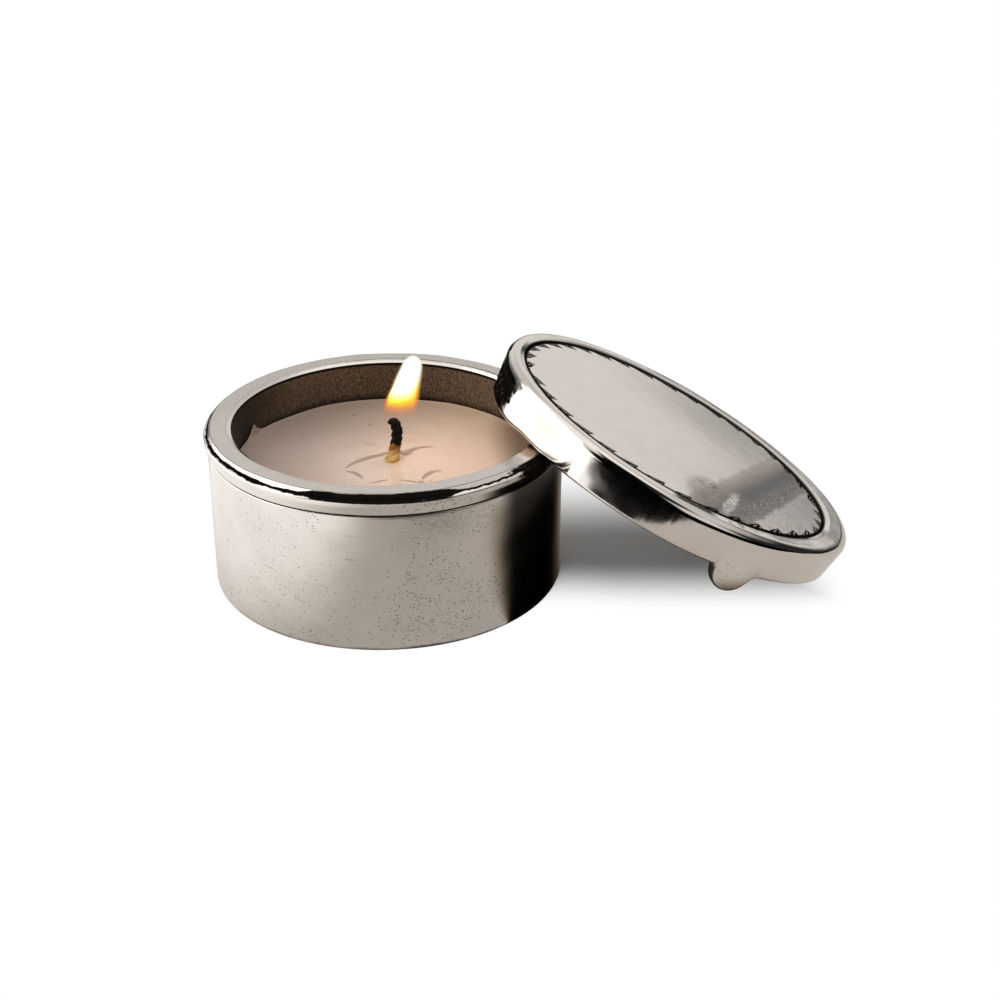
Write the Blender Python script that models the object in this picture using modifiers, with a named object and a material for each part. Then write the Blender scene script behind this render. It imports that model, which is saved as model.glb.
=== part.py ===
"""Round cast pewter box holding a poured candle, with its loose engraved lid.

The lid is off, as the box is shown in use: its low edge stands on the table and
its locating ring leans on the box's rim.  Metres, +Z up.  The origin is the
centre of the box's underside, and the lid leans along +X.
"""

import math

import bmesh
import bpy
import numpy as np
from mathutils import Vector

# The box: a turned wall, a rolled rim on top of it and a disc for a base
BOX_RADIUS = 0.0420
BOX_HEIGHT = 0.0395
WALL_THICKNESS = 0.0057
BASE_THICKNESS = 0.0030
FOOT_ROUNDING = 0.0014
RIM_HEIGHT = 0.0050
RIM_BULGE = 0.0008
RIM_TOP_ROUNDING = 0.0012
MOUTH_ROUNDING = 0.0007
SEAM_BEVEL = 0.0004

# The candle
WAX_DEPTH_BELOW_RIM = 0.0108
WAX_POOL_DIP = 0.0005
WAX_MENISCUS_HEIGHT = 0.0006
WAX_MENISCUS_WIDTH = 0.0015
WICK_RADIUS = 0.0012
WICK_LENGTH_ABOVE_WAX = 0.0098
WICK_OFFSET_X = 0.0014
WICK_OFFSET_Y = -0.0010
WICK_HOOK = 0.0016
SUSTAINER_RADIUS = 0.0080
SUSTAINER_THICKNESS = 0.0006
SUSTAINER_NECK_HEIGHT = 0.0040
SUSTAINER_NECK_WALL = 0.0006

# The lid: a cast ring with a rounded shoulder, an engraved plate let into it,
# a locating ring under the plate and a lobe to lift it by
LID_HEIGHT = 0.0097
SKIRT_THICKNESS = 0.0038
SKIRT_TAPER = 0.0011
SHOULDER_RADIUS = 0.0018
SKIRT_LIP_ROUNDING = 0.0010
SKIRT_CLEARANCE = 0.0006
BORDER_WIDTH = 0.0058
BORDER_CROWN = 0.0004
PLATE_THICKNESS = 0.0018
LEDGE_WIDTH = 0.0020
LEDGE_THICKNESS = 0.0016
LOCATING_RING_HEIGHT = 0.0050
LOCATING_RING_WALL = 0.0020
LOCATING_RING_CLEARANCE = 0.0006
THUMB_LOBE_RADIUS = 0.0047
THUMB_LOBE_BULGE = 0.0024
THUMB_LOBE_INSET = 0.0009
THUMB_LOBE_DROP = 0.0004
THUMB_LOBE_ANGLE = math.radians(-79.7)

# How the lid lies: its width less the way from the box's side to its low edge
LEAN_OVERLAP = 0.0295
LEAN_SEARCH_LOW = math.radians(8.0)
LEAN_SEARCH_HIGH = math.radians(60.0)
LEAN_SEARCH_STEPS = 40

# Gap between pieces that are soldered, poured or rested together
SEAT_GAP = 0.0003
CUT_OVERRUN = 0.0030

# Mesh fineness
TURN_STEPS = 72
SMALL_TURN_STEPS = 20
ARC_STEPS = 4
RIM_SAMPLES = 180
MERGE_DISTANCE = 0.00001
SMOOTH_ANGLE = math.radians(40.0)

QUARTER = math.pi / 2

# Heights and radii that follow from the sizes above
MOUTH_RADIUS = BOX_RADIUS - WALL_THICKNESS
RIM_BOTTOM = BOX_HEIGHT - RIM_HEIGHT
WALL_TOP = RIM_BOTTOM - SEAT_GAP
WAX_TOP = BOX_HEIGHT - WAX_DEPTH_BELOW_RIM
WAX_BOTTOM = BASE_THICKNESS + SEAT_GAP
WICK_TOP = WAX_TOP + WICK_LENGTH_ABOVE_WAX
SUSTAINER_BOTTOM = WAX_BOTTOM
SUSTAINER_NECK_TOP = SUSTAINER_BOTTOM + SUSTAINER_THICKNESS + SUSTAINER_NECK_HEIGHT
SUSTAINER_NECK_RADIUS = WICK_RADIUS + SEAT_GAP + SUSTAINER_NECK_WALL
SKIRT_INNER_RADIUS = BOX_RADIUS + RIM_BULGE + SKIRT_CLEARANCE
LID_RADIUS = SKIRT_INNER_RADIUS + SKIRT_THICKNESS
SKIRT_FOOT_RADIUS = LID_RADIUS - SKIRT_TAPER
PLATE_SEAT_RADIUS = LID_RADIUS - BORDER_WIDTH
PLATE_RADIUS = PLATE_SEAT_RADIUS - SEAT_GAP
LEDGE_INNER_RADIUS = PLATE_SEAT_RADIUS - LEDGE_WIDTH
LEDGE_TOP = -PLATE_THICKNESS - SEAT_GAP
LEDGE_BOTTOM = LEDGE_TOP - LEDGE_THICKNESS
LOCATING_RING_RADIUS = MOUTH_RADIUS - LOCATING_RING_CLEARANCE
LOCATING_RING_TOP = -PLATE_THICKNESS - SEAT_GAP
LOCATING_RING_BOTTOM = LOCATING_RING_TOP - LOCATING_RING_HEIGHT
LEAN_REACH = BOX_RADIUS + LID_RADIUS * 2 - LEAN_OVERLAP


def clear_scene():
    """Remove whatever the file opened with."""
    for item in list(bpy.data.objects):
        bpy.data.objects.remove(item, do_unlink=True)
    for group in list(bpy.data.collections):
        bpy.data.collections.remove(group)


def make_collection(name):
    group = bpy.data.collections.new(name)
    bpy.context.scene.collection.children.link(group)
    return group


def make_material(name, colour, roughness, metallic):
    material = bpy.data.materials.new(name)
    material.use_nodes = True
    shader = material.node_tree.nodes["Principled BSDF"]
    shader.inputs["Base Color"].default_value = (*colour, 1.0)
    shader.inputs["Roughness"].default_value = roughness
    shader.inputs["Metallic"].default_value = metallic
    material.diffuse_color = (*colour, 1.0)
    return material


def arc(centre_r, centre_z, radius, start, end, steps=ARC_STEPS):
    """Points along a round corner of a turned outline, angles from +R towards +Z."""
    points = []
    for step in range(steps + 1):
        angle = start + (end - start) * step / steps
        points.append((centre_r + radius * math.cos(angle), centre_z + radius * math.sin(angle)))
    return points


def turned(name, outline, closed, group, material, steps=TURN_STEPS):
    """Turn an outline of (radius, height) points about the object's own Z axis."""
    vertices = [(radius, 0.0, height) for radius, height in outline]
    edges = [(index, index + 1) for index in range(len(vertices) - 1)]
    if closed:
        edges.append((len(vertices) - 1, 0))
    mesh = bpy.data.meshes.new(name)
    mesh.from_pydata(vertices, edges, [])
    piece = bpy.data.objects.new(name, mesh)
    group.objects.link(piece)
    screw = piece.modifiers.new("turn", "SCREW")
    screw.axis = "Z"
    screw.steps = steps
    screw.render_steps = steps
    screw.use_merge_vertices = True
    screw.merge_threshold = MERGE_DISTANCE
    screw.use_smooth_shade = True
    if material:
        mesh.materials.append(material)
    return piece


def add_cut(piece, cutter):
    """Cut one piece with a hidden cutter."""
    cut = piece.modifiers.new("cut", "BOOLEAN")
    cut.operation = "DIFFERENCE"
    cut.solver = "EXACT"
    cut.object = cutter


def hide_cutter(cutter):
    cutter.hide_render = True
    cutter.display_type = "WIRE"


def rim_outline():
    """Flat-topped rim whose outer side is rolled out into a soft bead."""
    bulge_radius = BOX_RADIUS + RIM_BULGE
    top = BOX_HEIGHT
    crown = BOX_RADIUS - RIM_TOP_ROUNDING
    middle = (RIM_BOTTOM + top) / 2
    outline = [(MOUTH_RADIUS + MOUTH_ROUNDING, top), (crown, top)]
    outline += arc(crown, top - RIM_TOP_ROUNDING, RIM_TOP_ROUNDING, QUARTER, QUARTER / 3)[1:]
    outline.append((bulge_radius, middle))
    outline.append((BOX_RADIUS + RIM_BULGE / 2, (middle + RIM_BOTTOM) / 2))
    outline.append((BOX_RADIUS, RIM_BOTTOM + SEAM_BEVEL))
    outline.append((BOX_RADIUS - SEAM_BEVEL, RIM_BOTTOM))
    outline.append((MOUTH_RADIUS, RIM_BOTTOM))
    outline += arc(MOUTH_RADIUS + MOUTH_ROUNDING, top - MOUTH_ROUNDING, MOUTH_ROUNDING,
                   math.pi, QUARTER)[:-1]
    return outline


def wall_outline():
    """Straight side wall with a softly rounded foot."""
    outline = [(MOUTH_RADIUS, WALL_TOP), (BOX_RADIUS - SEAM_BEVEL, WALL_TOP)]
    outline.append((BOX_RADIUS, WALL_TOP - SEAM_BEVEL))
    outline += arc(BOX_RADIUS - FOOT_ROUNDING, FOOT_ROUNDING, FOOT_ROUNDING, 0.0, -QUARTER)
    outline.append((MOUTH_RADIUS, 0.0))
    return outline


def lid_rim_outline():
    """The lid's cast ring, in the lid's own frame with its top at zero."""
    shoulder_r = LID_RADIUS - SHOULDER_RADIUS
    shoulder_z = -SHOULDER_RADIUS
    lip = SKIRT_LIP_ROUNDING
    outline = [(PLATE_SEAT_RADIUS, 0.0)]
    outline.append(((PLATE_SEAT_RADIUS + shoulder_r) / 2, BORDER_CROWN))
    outline += arc(shoulder_r, shoulder_z, SHOULDER_RADIUS, QUARTER, 0.0, ARC_STEPS + 1)
    outline += arc(SKIRT_FOOT_RADIUS - lip, -LID_HEIGHT + lip, lip, 0.0, -QUARTER)
    outline += arc(SKIRT_INNER_RADIUS + lip, -LID_HEIGHT + lip, lip, -QUARTER, -math.pi, 2)
    outline.append((SKIRT_INNER_RADIUS, LEDGE_BOTTOM))
    outline.append((LEDGE_INNER_RADIUS, LEDGE_BOTTOM))
    outline.append((LEDGE_INNER_RADIUS, LEDGE_TOP))
    outline.append((PLATE_SEAT_RADIUS, LEDGE_TOP))
    return outline


def locating_ring_outline():
    """Plain ring that drops into the box's mouth and keeps the lid centred."""
    inner = LOCATING_RING_RADIUS - LOCATING_RING_WALL
    bevel = LOCATING_RING_WALL / 4
    low = LOCATING_RING_BOTTOM
    return [(inner, LOCATING_RING_TOP), (LOCATING_RING_RADIUS, LOCATING_RING_TOP),
            (LOCATING_RING_RADIUS, low + bevel), (LOCATING_RING_RADIUS - bevel, low),
            (inner + bevel, low), (inner, low + bevel)]


def wax_outline():
    """The poured candle: a shallow pool on top, its edge drawn up the wall."""
    radius = MOUTH_RADIUS - SEAT_GAP
    flat = radius - WAX_MENISCUS_WIDTH
    return [(0.0, WAX_TOP - WAX_POOL_DIP), (flat / 2, WAX_TOP - WAX_POOL_DIP / 2),
            (flat, WAX_TOP), (radius, WAX_TOP + WAX_MENISCUS_HEIGHT),
            (radius, WAX_BOTTOM), (0.0, WAX_BOTTOM)]


def sustainer_outline():
    """Pressed disc with a neck that grips the wick's foot."""
    bore = WICK_RADIUS + SEAT_GAP
    top = SUSTAINER_BOTTOM + SUSTAINER_THICKNESS
    return [(bore, SUSTAINER_NECK_TOP), (SUSTAINER_NECK_RADIUS, SUSTAINER_NECK_TOP),
            (SUSTAINER_NECK_RADIUS, top), (SUSTAINER_RADIUS, top),
            (SUSTAINER_RADIUS, SUSTAINER_BOTTOM), (bore, SUSTAINER_BOTTOM)]


def sustainer_pocket_outline():
    """Room in the wax for the sustainer and the wick, open above and below."""
    disc_top = SUSTAINER_BOTTOM + SUSTAINER_THICKNESS + SEAT_GAP
    neck_top = SUSTAINER_NECK_TOP + SEAT_GAP
    bore = WICK_RADIUS + SEAT_GAP
    return [(0.0, WAX_TOP + CUT_OVERRUN), (bore, WAX_TOP + CUT_OVERRUN), (bore, neck_top),
            (SUSTAINER_NECK_RADIUS + SEAT_GAP, neck_top),
            (SUSTAINER_NECK_RADIUS + SEAT_GAP, disc_top),
            (SUSTAINER_RADIUS + SEAT_GAP, disc_top),
            (SUSTAINER_RADIUS + SEAT_GAP, WAX_BOTTOM - CUT_OVERRUN),
            (0.0, WAX_BOTTOM - CUT_OVERRUN)]


def lobe_cutter_outline():
    """The lid's own space: what the thumb lobe must leave free."""
    below = -LID_HEIGHT - THUMB_LOBE_DROP - THUMB_LOBE_RADIUS - CUT_OVERRUN
    return [(0.0, CUT_OVERRUN), (LID_RADIUS + SEAT_GAP, CUT_OVERRUN),
            (LID_RADIUS + SEAT_GAP, -SHOULDER_RADIUS),
            (SKIRT_FOOT_RADIUS + SEAT_GAP, -LID_HEIGHT + SKIRT_LIP_ROUNDING),
            (SKIRT_FOOT_RADIUS + SEAT_GAP, -LID_HEIGHT - SEAT_GAP),
            (SKIRT_INNER_RADIUS, -LID_HEIGHT - SEAT_GAP),
            (SKIRT_INNER_RADIUS, below), (0.0, below)]


def place_lid(angle):
    """Top centre of the lid when it leans by an angle with its low edge on the table."""
    rise, run = math.sin(angle), math.cos(angle)
    drops = [(radius * rise - height * run, radius, height) for radius, height in lid_rim_outline()]
    drop, radius, height = max(drops)
    return Vector((LEAN_REACH - radius * run - height * rise, 0.0, drop))


def segment_distances(points, outline):
    """Shortest distance from each point to a closed outline, in its (radius, height) plane."""
    corners = np.array(outline)
    ends = np.roll(corners, -1, axis=0)
    nearest = np.full(len(points), np.inf)
    for start, end in zip(corners, ends):
        along = end - start
        share = np.clip((points - start) @ along / (along @ along), 0.0, 1.0)
        gap = np.linalg.norm(points - (start + share[:, None] * along), axis=1)
        nearest = np.minimum(nearest, gap)
    return nearest


def is_inside(points, outline):
    """Which points lie inside a closed outline, by counting crossings."""
    inside = np.zeros(len(points), dtype=bool)
    corners = np.array(outline)
    ends = np.roll(corners, -1, axis=0)
    for (start_r, start_z), (end_r, end_z) in zip(corners, ends):
        if start_z == end_z:
            continue
        crosses = (start_z > points[:, 1]) != (end_z > points[:, 1])
        at = start_r + (points[:, 1] - start_z) * (end_r - start_r) / (end_z - start_z)
        inside ^= crosses & (points[:, 0] < at)
    return inside


def box_points():
    """Points all round the box's rim and wall on the side that the lid leans over."""
    around = np.linspace(-QUARTER, QUARTER, RIM_SAMPLES)
    outer = rim_outline() + wall_outline()
    rings = [np.stack([radius * np.cos(around), radius * np.sin(around),
                       np.full_like(around, height)], axis=1) for radius, height in outer]
    return np.concatenate(rings)


def plate_outline():
    """The lid's plate as a half section from its axis out."""
    return [(0.0, 0.0), (PLATE_RADIUS, 0.0), (PLATE_RADIUS, -PLATE_THICKNESS),
            (0.0, -PLATE_THICKNESS)]


def lid_clearance(angle):
    """Least distance from the box to the leaning lid, below zero where they would meet."""
    place = np.array(place_lid(angle))
    rise, run = math.sin(angle), math.cos(angle)
    offset = box_points() - place
    downhill = offset[:, 0] * run - offset[:, 2] * rise
    height = offset[:, 0] * rise + offset[:, 2] * run
    section = np.stack([np.hypot(downhill, offset[:, 1]), height], axis=1)
    least = np.inf
    for outline in (lid_rim_outline(), locating_ring_outline(), plate_outline()):
        if is_inside(section, outline).any():
            return -SEAT_GAP
        least = min(least, segment_distances(section, outline).min())
    return least


def lean_angle():
    """The flattest lean at which the lid rests on the rim with the seat gap between them."""
    low, high = LEAN_SEARCH_LOW, LEAN_SEARCH_HIGH
    for _ in range(LEAN_SEARCH_STEPS):
        middle = (low + high) / 2
        if lid_clearance(middle) < SEAT_GAP:
            low = middle
        else:
            high = middle
    return high


def make_wick(group, material):
    """Braided wick: straight up from the sustainer, its burnt end bent over."""
    bend = WICK_LENGTH_ABOVE_WAX / 3
    foot = SUSTAINER_BOTTOM + SEAT_GAP
    route = [(0.0, foot), (0.0, WAX_TOP), (WICK_HOOK / 4, WAX_TOP + bend),
             (WICK_HOOK / 2, WICK_TOP - bend), (WICK_HOOK / 4, WICK_TOP - WICK_RADIUS),
             (-WICK_HOOK / 2, WICK_TOP - WICK_RADIUS / 2)]
    curve = bpy.data.curves.new("wick", "CURVE")
    curve.dimensions = "3D"
    curve.bevel_depth = WICK_RADIUS
    curve.bevel_resolution = 2
    curve.use_fill_caps = True
    spline = curve.splines.new("POLY")
    spline.points.add(len(route) - 1)
    for point, (x, z) in zip(spline.points, route):
        point.co = (x, 0.0, z, 1.0)
    curve.materials.append(material)
    piece = bpy.data.objects.new("wick", curve)
    piece.location = (WICK_OFFSET_X, WICK_OFFSET_Y, 0.0)
    group.objects.link(piece)


def make_candle(group, cutters, wax, cotton, tin):
    """Wax poured round the wick and its sustainer."""
    fill = turned("wax_fill", wax_outline(), False, group, wax)
    pocket = turned("sustainer_pocket", sustainer_pocket_outline(), False, cutters, None,
                    SMALL_TURN_STEPS)
    pocket.location = (WICK_OFFSET_X, WICK_OFFSET_Y, 0.0)
    hide_cutter(pocket)
    add_cut(fill, pocket)
    sustainer = turned("wick_sustainer", sustainer_outline(), True, group, tin,
                       SMALL_TURN_STEPS)
    sustainer.location = (WICK_OFFSET_X, WICK_OFFSET_Y, 0.0)
    make_wick(group, cotton)


def make_box(group, pewter):
    """The side wall, the rolled rim soldered on it and the base disc soldered in it."""
    turned("box_wall", wall_outline(), True, group, pewter)
    turned("box_rim", rim_outline(), True, group, pewter)
    radius = MOUTH_RADIUS - SEAT_GAP
    disc = [(0.0, BASE_THICKNESS), (radius, BASE_THICKNESS), (radius, 0.0), (0.0, 0.0)]
    turned("box_base", disc, False, group, pewter)


def make_thumb_lobe(group, cutters, pewter, frame):
    """Rounded lobe under the skirt's lower edge, flatter outwards, cut to sit against the skirt."""
    mesh = bpy.data.meshes.new("thumb_lobe")
    ball = bmesh.new()
    bmesh.ops.create_uvsphere(ball, u_segments=SMALL_TURN_STEPS, v_segments=SMALL_TURN_STEPS // 2,
                              radius=THUMB_LOBE_RADIUS)
    bmesh.ops.scale(ball, vec=(THUMB_LOBE_BULGE / THUMB_LOBE_RADIUS, 1, 1), verts=ball.verts)
    ball.to_mesh(mesh)
    ball.free()
    mesh.materials.append(pewter)
    mesh.shade_smooth()
    lobe = bpy.data.objects.new("thumb_lobe", mesh)
    lobe.parent = frame
    reach = SKIRT_FOOT_RADIUS - THUMB_LOBE_INSET
    lobe.location = (reach * math.cos(THUMB_LOBE_ANGLE), reach * math.sin(THUMB_LOBE_ANGLE),
                     -LID_HEIGHT - THUMB_LOBE_DROP)
    lobe.rotation_euler = (0.0, 0.0, THUMB_LOBE_ANGLE)
    group.objects.link(lobe)
    space = turned("lobe_space", lobe_cutter_outline(), False, cutters, None)
    space.parent = frame
    hide_cutter(space)
    add_cut(lobe, space)


def make_lid(group, cutters, pewter):
    """The lid's pieces, hung from an empty at the centre of its top."""
    angle = lean_angle()
    frame = bpy.data.objects.new("lid_frame", None)
    frame.location = place_lid(angle)
    frame.rotation_euler = (0.0, angle, 0.0)
    group.objects.link(frame)
    rim = turned("lid_rim", lid_rim_outline(), True, group, pewter)
    ring = turned("locating_ring", locating_ring_outline(), True, group, pewter)
    plate = turned("lid_plate", plate_outline(), False, group, pewter)
    for piece in (rim, ring, plate):
        piece.parent = frame
    make_thumb_lobe(group, cutters, pewter, frame)
    print("lid leans", round(math.degrees(angle), 3), "degrees, top centre at",
          tuple(round(value, 5) for value in frame.location))


def soften_edges(group):
    """Smooth shading with the real edges kept sharp."""
    for piece in group.objects:
        if piece.type == "MESH" and not piece.modifiers:
            piece.data.shade_smooth()
            piece.data.set_sharp_from_angle(angle=SMOOTH_ANGLE)


def main():
    clear_scene()
    parts = make_collection("candle_box")
    cutters = make_collection("cutters")
    pewter = make_material("pewter", (0.62, 0.59, 0.56), 0.28, 1.0)
    wax = make_material("candle_wax", (0.72, 0.58, 0.49), 0.35, 0.0)
    cotton = make_material("wick_cotton", (0.10, 0.07, 0.05), 0.9, 0.0)
    tin = make_material("tinned_steel", (0.55, 0.55, 0.54), 0.4, 1.0)
    make_box(parts, pewter)
    make_candle(parts, cutters, wax, cotton, tin)
    make_lid(parts, cutters, pewter)
    soften_edges(parts)


main()
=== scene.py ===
# %% [markdown]
# # A pewter box with a poured candle, its engraved lid leaning on the rim
#
# The real object is cast and turned in pewter: a straight-sided round box with a
# rolled rim, filled with wax round a burning wick, and a flat lid with a scalloped
# line engraved round its edge and one round tongue on its skirt to lift it by.  The
# lesson builds each visible piece as its own mesh, gives it a finish made of shader
# nodes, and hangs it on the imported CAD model, which fixes every size and place.

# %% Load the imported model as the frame
import math

import bpy
import numpy as np
from mathutils import Matrix, Vector


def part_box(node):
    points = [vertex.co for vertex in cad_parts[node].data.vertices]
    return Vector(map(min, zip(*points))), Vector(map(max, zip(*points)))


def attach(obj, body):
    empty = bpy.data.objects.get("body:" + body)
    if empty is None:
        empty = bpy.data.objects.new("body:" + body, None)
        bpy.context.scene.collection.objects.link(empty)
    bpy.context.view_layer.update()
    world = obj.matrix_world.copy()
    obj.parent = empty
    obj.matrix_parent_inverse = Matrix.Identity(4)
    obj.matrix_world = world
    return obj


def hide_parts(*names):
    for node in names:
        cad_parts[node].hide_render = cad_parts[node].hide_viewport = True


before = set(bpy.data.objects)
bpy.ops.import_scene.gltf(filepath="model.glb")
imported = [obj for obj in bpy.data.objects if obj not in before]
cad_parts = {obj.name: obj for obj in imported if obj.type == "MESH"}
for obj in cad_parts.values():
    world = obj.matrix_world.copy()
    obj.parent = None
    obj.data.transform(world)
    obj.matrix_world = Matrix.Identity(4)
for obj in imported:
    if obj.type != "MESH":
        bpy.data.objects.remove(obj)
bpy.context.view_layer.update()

# %% [markdown]
# ## Sizes
#
# Nothing is measured twice.  The box's radii and heights are read from the corners
# of the CAD nodes, and the lid's own frame from its plate: the plate is a flat
# disc, so the direction of its largest faces is the lid's axis and the middle of
# its corners is its centre.

# %% Read the sizes from the CAD nodes
MM = 0.001
GAP = 0.3 * MM
MENISCUS = 0.6 * MM
PLATE_THICKNESS = 1.8 * MM
BOX_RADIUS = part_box("box_wall")[1].x
MOUTH_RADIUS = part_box("wax_fill")[1].x + GAP
BOX_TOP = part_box("box_rim")[1].z
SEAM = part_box("box_rim")[0].z
WALL_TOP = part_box("box_wall")[1].z
WAX_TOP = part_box("wax_fill")[1].z - MENISCUS
WICK_AT = Vector((1.4 * MM, -1.0 * MM, 0))
print("box radius", round(BOX_RADIUS, 5), "mouth", round(MOUTH_RADIUS, 5), "wax top", round(WAX_TOP, 5))

# %% The lid's frame: origin at the centre of its top, +Z out of the top, +X downhill
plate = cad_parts["lid_plate"].data
up = max(plate.polygons, key=lambda face: face.area * (face.normal.z > 0)).normal.normalized()
across = Vector((0, 1, 0))
low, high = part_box("lid_plate")
origin = (low + high) / 2 + up * PLATE_THICKNESS / 2
turned_axes = Matrix((across.cross(up), across, up)).transposed()
LID_AT = Matrix.Translation(origin) @ turned_axes.to_4x4()
lean = math.degrees(LID_AT.to_euler().y)
print("lid leans", round(lean, 2), "degrees from", tuple(round(value, 5) for value in LID_AT.translation))

# %% [markdown]
# ## Making a turned solid
#
# Almost everything here was made on a lathe, so one helper turns an outline about
# the Z axis.  A modifier could do the same, but points in numpy can still be moved
# one by one: a hand-finished piece is never a perfect circle.  A second helper
# rounds the outline's corners, since every highlight sits on such a corner.

# %% Round an outline and turn it
NEARLY_STRAIGHT = 1.55
ARC_STEP = math.radians(9)


def unit(vectors):
    return vectors / np.linalg.norm(vectors, axis=-1, keepdims=True)


def rounded(corners, step):
    """Points along a closed outline of (radius, height, fillet in mm) corners, a step in mm apart."""
    path = []
    for index, (radius, height, fillet) in enumerate(corners):
        here = np.array((radius, height))
        back = unit(np.array(corners[index - 1][:2]) - here)
        ahead = unit(np.array(corners[(index + 1) % len(corners)][:2]) - here)
        half = math.acos(np.clip(back @ ahead, -1, 1)) / 2
        if fillet == 0 or half > NEARLY_STRAIGHT:
            path.append(here)
            continue
        fillet *= MM
        centre = here + unit(back + ahead) * fillet / math.sin(half)
        first = here + back * fillet / math.tan(half) - centre
        last = here + ahead * fillet / math.tan(half) - centre
        bend = math.pi - 2 * half
        share = np.linspace(0, 1, max(2, math.ceil(bend / ARC_STEP)) + 1)[:, None]
        blend = first * np.sin((1 - share) * bend) + last * np.sin(share * bend)
        path += list(centre + blend / math.sin(bend))
    spread = []
    for index, here in enumerate(path):
        ahead = path[(index + 1) % len(path)]
        runs = max(1, math.ceil(np.linalg.norm(ahead - here) / (step * MM)))
        spread += [here + (ahead - here) * run / runs for run in range(runs)]
    return np.array(spread)


def around(columns):
    return np.linspace(0, 2 * math.pi, columns, endpoint=False)


def turn(outline, angles):
    """Points of an outline turned to each angle, as an array of columns by rows by 3."""
    radius, height = outline.T
    return np.stack([np.outer(np.cos(angles), radius), np.outer(np.sin(angles), radius),
                     np.broadcast_to(height, (len(angles), len(height)))], axis=-1)


def ring_faces(columns, rows):
    """Quads of a closed outline turned through closed columns."""
    faces = []
    for column in range(columns):
        here = column * rows
        there = (column + 1) % columns * rows
        for row in range(rows):
            ahead = (row + 1) % rows
            faces.append((here + row, there + row, there + ahead, here + ahead))
    return faces


def disc_faces(columns, rows, first=0):
    """The same for an open outline, a disc's or a tube's, with one face to close each end."""
    faces = [face for face in ring_faces(columns, rows) if face[0] % rows != rows - 1]
    faces.append(tuple(column * rows for column in reversed(range(columns))))
    faces.append(tuple(column * rows + rows - 1 for column in range(columns)))
    return [tuple(first + corner for corner in face) for face in faces]


# %% Put a mesh in the scene
SHARP_EDGE = math.radians(60)


def add_object(name, data):
    made = bpy.data.objects.new(name, data)
    bpy.context.scene.collection.objects.link(made)
    return made


def dress(piece, finish):
    """Give a piece one finish and no other."""
    piece.data.materials.clear()
    piece.data.materials.append(finish)
    print(piece.name, "takes", finish.name)


def make_object(name, points, faces, body, marks=None):
    """A smooth mesh that faces outward, rides on a CAD body and keeps its marks per point."""
    points = points.reshape(-1, 3)
    if body == "lid":
        points = points @ np.array(LID_AT.to_3x3()).T + np.array(LID_AT.translation)
    mesh = bpy.data.meshes.new(name)
    mesh.from_pydata(points.tolist(), [], faces)
    first, second, third = (points[[face[index] for face in faces]] for index in (0, 1, 2))
    if (first * np.cross(second, third)).sum() < 0:
        mesh.flip_normals()
    mesh.shade_smooth()
    mesh.set_sharp_from_angle(angle=SHARP_EDGE)
    for mark, values in (marks or {}).items():
        mesh.attributes.new(mark, "FLOAT", "POINT").data.foreach_set("value", values.astype(np.float32))
    piece = add_object(name, mesh)
    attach(piece, body)
    print(name, len(points), "points")
    return piece


# %% [markdown]
# ## Hand-finished unevenness
#
# The reflections in the photograph wander, because the metal was scraped and
# polished by hand.  A sum of a few seeded sine waves in space gives such a smooth
# unevenness, cheaper than a modifier and the same on every run.

# %% A seeded swell
WAVES = 10


def swell(points, wavelength, seed):
    """Smooth unevenness at each point, mostly between -1 and 1, by a wavelength in mm."""
    random = np.random.default_rng(seed)
    directions = unit(random.normal(size=(WAVES, 3)))
    lengths = wavelength * MM * random.uniform(0.7, 1.6, WAVES)
    phases = random.uniform(0, 2 * math.pi, WAVES)
    turns = points @ (directions / lengths[:, None]).T
    return np.sin(turns * 2 * math.pi + phases).sum(-1) / math.sqrt(WAVES)


def outward(points):
    """Unit vectors away from the Z axis."""
    flat = points * np.array((1, 1, 0))
    return flat / np.maximum(np.linalg.norm(flat, axis=-1, keepdims=True), 1e-9)


def ease(values, low, high):
    """0 below low, 1 above high, smooth in between."""
    share = np.clip((values - low) / (high - low), 0, 1)
    return share * share * (3 - 2 * share)


# %% [markdown]
# ## Shader maths as plain Python
#
# A finish is easier to read as `tarnish = 1 - ease(height)` than as a cloud of
# nodes.  `Wire` holds one socket and turns + - * / into Math nodes, on either side
# of the operator.  `Bench` owns the node tree, and its method `node` makes any other
# node: first its settings, then the values and links of its sockets.

# %% The socket class
def math_node(operation, reflected=False):
    """A method of Wire that joins it and another value in one Math node."""
    def join(self, other):
        first, second = (other, self) if reflected else (self, other)
        return self.bench.node("ShaderNodeMath", {"operation": operation}, {0: first, 1: second})
    return join


class Wire:
    """One output socket that can be used in a sum."""

    def __init__(self, bench, socket):
        self.bench = bench
        self.socket = socket

    __add__ = math_node("ADD")
    __radd__ = math_node("ADD", reflected=True)
    __sub__ = math_node("SUBTRACT")
    __rsub__ = math_node("SUBTRACT", reflected=True)
    __mul__ = math_node("MULTIPLY")
    __rmul__ = math_node("MULTIPLY", reflected=True)
    __truediv__ = math_node("DIVIDE")
    __rtruediv__ = math_node("DIVIDE", reflected=True)
    __pow__ = math_node("POWER")
    most = math_node("MAXIMUM")

    def ease(self, low, high):
        """0 below low, 1 above high."""
        return self.bench.node("ShaderNodeMapRange", {"interpolation_type": "SMOOTHSTEP"},
                               {"Value": self, "From Min": low, "From Max": high})

    def fade(self, low, high):
        """1 below low, 0 above high."""
        return 1 - self.ease(low, high)


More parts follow.
